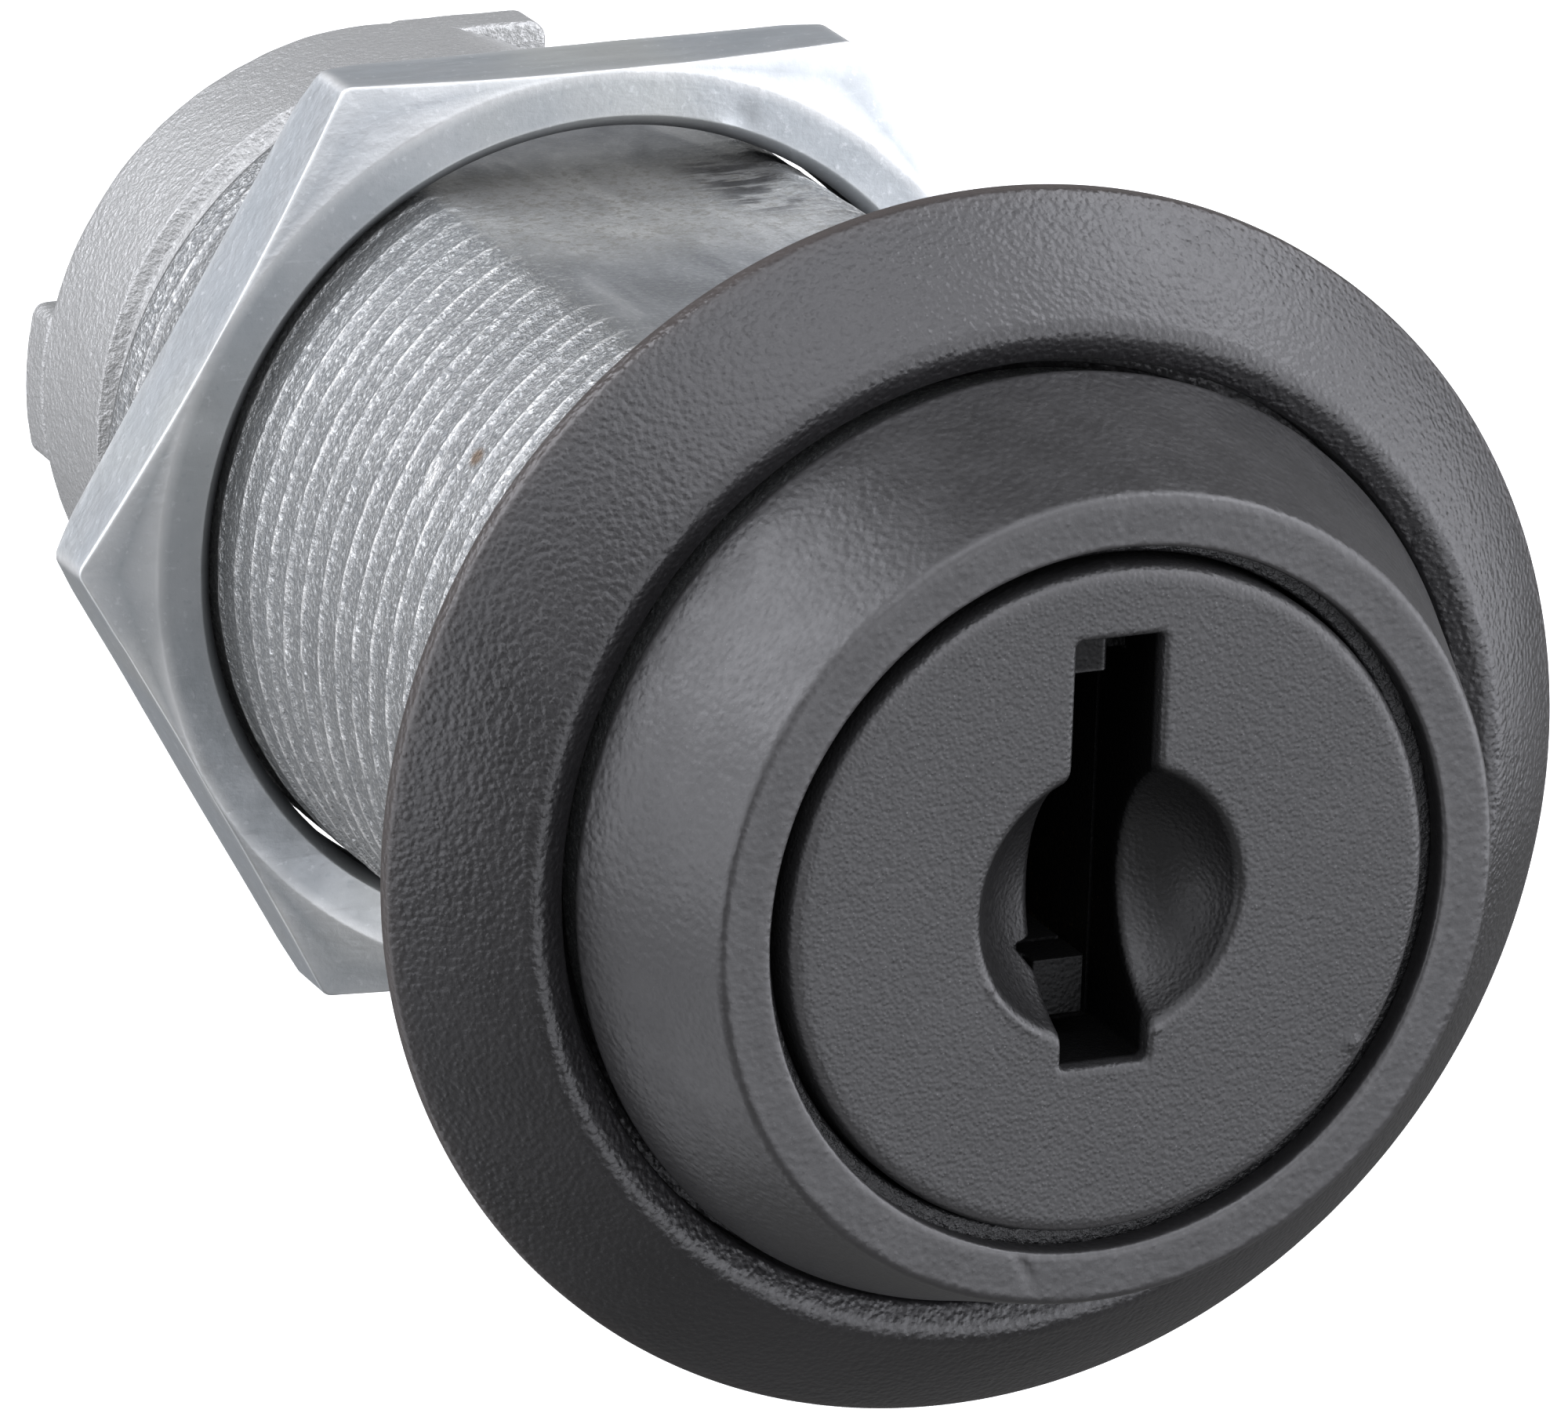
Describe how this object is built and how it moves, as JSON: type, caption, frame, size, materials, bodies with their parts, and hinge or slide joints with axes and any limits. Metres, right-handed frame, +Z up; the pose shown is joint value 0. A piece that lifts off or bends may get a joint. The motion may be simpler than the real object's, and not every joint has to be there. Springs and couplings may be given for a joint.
{
  "type": "cam lock",
  "caption": "Panel cam lock with a stepped round head, keyed plug, flat-sided threaded barrel, hexagon nut and a flat cam on the back.",
  "frame": {"origin": "On the lock's axis, in the plane where the bezel ring's back rests on the front of the panel.", "axes": "+Y runs along the lock's axis into the panel, towards the nut and the cam; the key enters from -Y. +Z is up, along the length of the keyway. +X is to the right of someone facing the lock."},
  "size_m": [0.037, 0.0484, 0.037],
  "materials": {
    "zinc_casting": "bare die-cast zinc, matt and finely grained, with paler thread crests",
    "black_coarse_coat": "black powder coat with a coarse orange-peel surface",
    "black_smooth_coat": "black satin powder coat with a fine speckle",
    "zinc_plated_steel": "bright zinc plate, slightly blue, soft sheen, small dings",
    "brass_wafer": "stamped brass",
    "spring_steel": "drawn spring wire"
  },
  "bodies": {
    "barrel": {"housing": "zinc_casting", "bezel_ring": "black_coarse_coat", "head_collar": "black_smooth_coat"},
    "plug": {"plug": "black_smooth_coat", "wafer_spring_1": "spring_steel", "wafer_spring_2": "spring_steel", "wafer_spring_3": "spring_steel", "wafer_spring_4": "spring_steel", "wafer_spring_5": "spring_steel", "wafer_spring_6": "spring_steel", "wafer_spring_7": "spring_steel", "retaining_spring": "spring_steel", "stop_washer": "zinc_plated_steel", "cam": "zinc_plated_steel", "lock_washer": "zinc_plated_steel", "cam_screw": "zinc_plated_steel"},
    "wafer_1": {"wafer_1": "brass_wafer"},
    "wafer_2": {"wafer_2": "brass_wafer"},
    "wafer_3": {"wafer_3": "brass_wafer"},
    "wafer_4": {"wafer_4": "brass_wafer"},
    "wafer_5": {"wafer_5": "brass_wafer"},
    "wafer_6": {"wafer_6": "brass_wafer"},
    "wafer_7": {"wafer_7": "brass_wafer"},
    "retainer": {"retaining_wafer": "brass_wafer"},
    "nut": {"mounting_nut": "zinc_plated_steel"}
  },
  "joints": [
    {"name": "plug_turn", "type": "hinge", "parent": "barrel", "child": "plug", "pos_m": [0, 0, 0], "axis": [0, 1, 0], "range_deg": [0, 90]},
    {"name": "wafer_1_drop", "type": "slide", "parent": "plug", "child": "wafer_1", "axis": [0, 0, -1], "range_m": [0, 0.0009], "deforming": ["wafer_spring_1"]},
    {"name": "wafer_2_drop", "type": "slide", "parent": "plug", "child": "wafer_2", "axis": [0, 0, -1], "range_m": [0, 0.0009], "deforming": ["wafer_spring_2"]},
    {"name": "wafer_3_drop", "type": "slide", "parent": "plug", "child": "wafer_3", "axis": [0, 0, -1], "range_m": [0, 0.0009], "deforming": ["wafer_spring_3"]},
    {"name": "wafer_4_drop", "type": "slide", "parent": "plug", "child": "wafer_4", "axis": [0, 0, -1], "range_m": [0, 0.0009], "deforming": ["wafer_spring_4"]},
    {"name": "wafer_5_drop", "type": "slide", "parent": "plug", "child": "wafer_5", "axis": [0, 0, -1], "range_m": [0, 0.0009], "deforming": ["wafer_spring_5"]},
    {"name": "wafer_6_drop", "type": "slide", "parent": "plug", "child": "wafer_6", "axis": [0, 0, -1], "range_m": [0, 0.0009], "deforming": ["wafer_spring_6"]},
    {"name": "wafer_7_drop", "type": "slide", "parent": "plug", "child": "wafer_7", "axis": [0, 0, -1], "range_m": [0, 0.0009], "deforming": ["wafer_spring_7"]},
    {"name": "retaining_wafer_press", "type": "slide", "parent": "plug", "child": "retainer", "axis": [0, 0, 1], "range_m": [0, 0.0008], "deforming": ["retaining_spring"]},
    {"name": "nut_travel", "type": "slide", "parent": "barrel", "child": "nut", "axis": [0, -1, 0], "range_m": [-0.0045, 0.0197]}
  ]
}
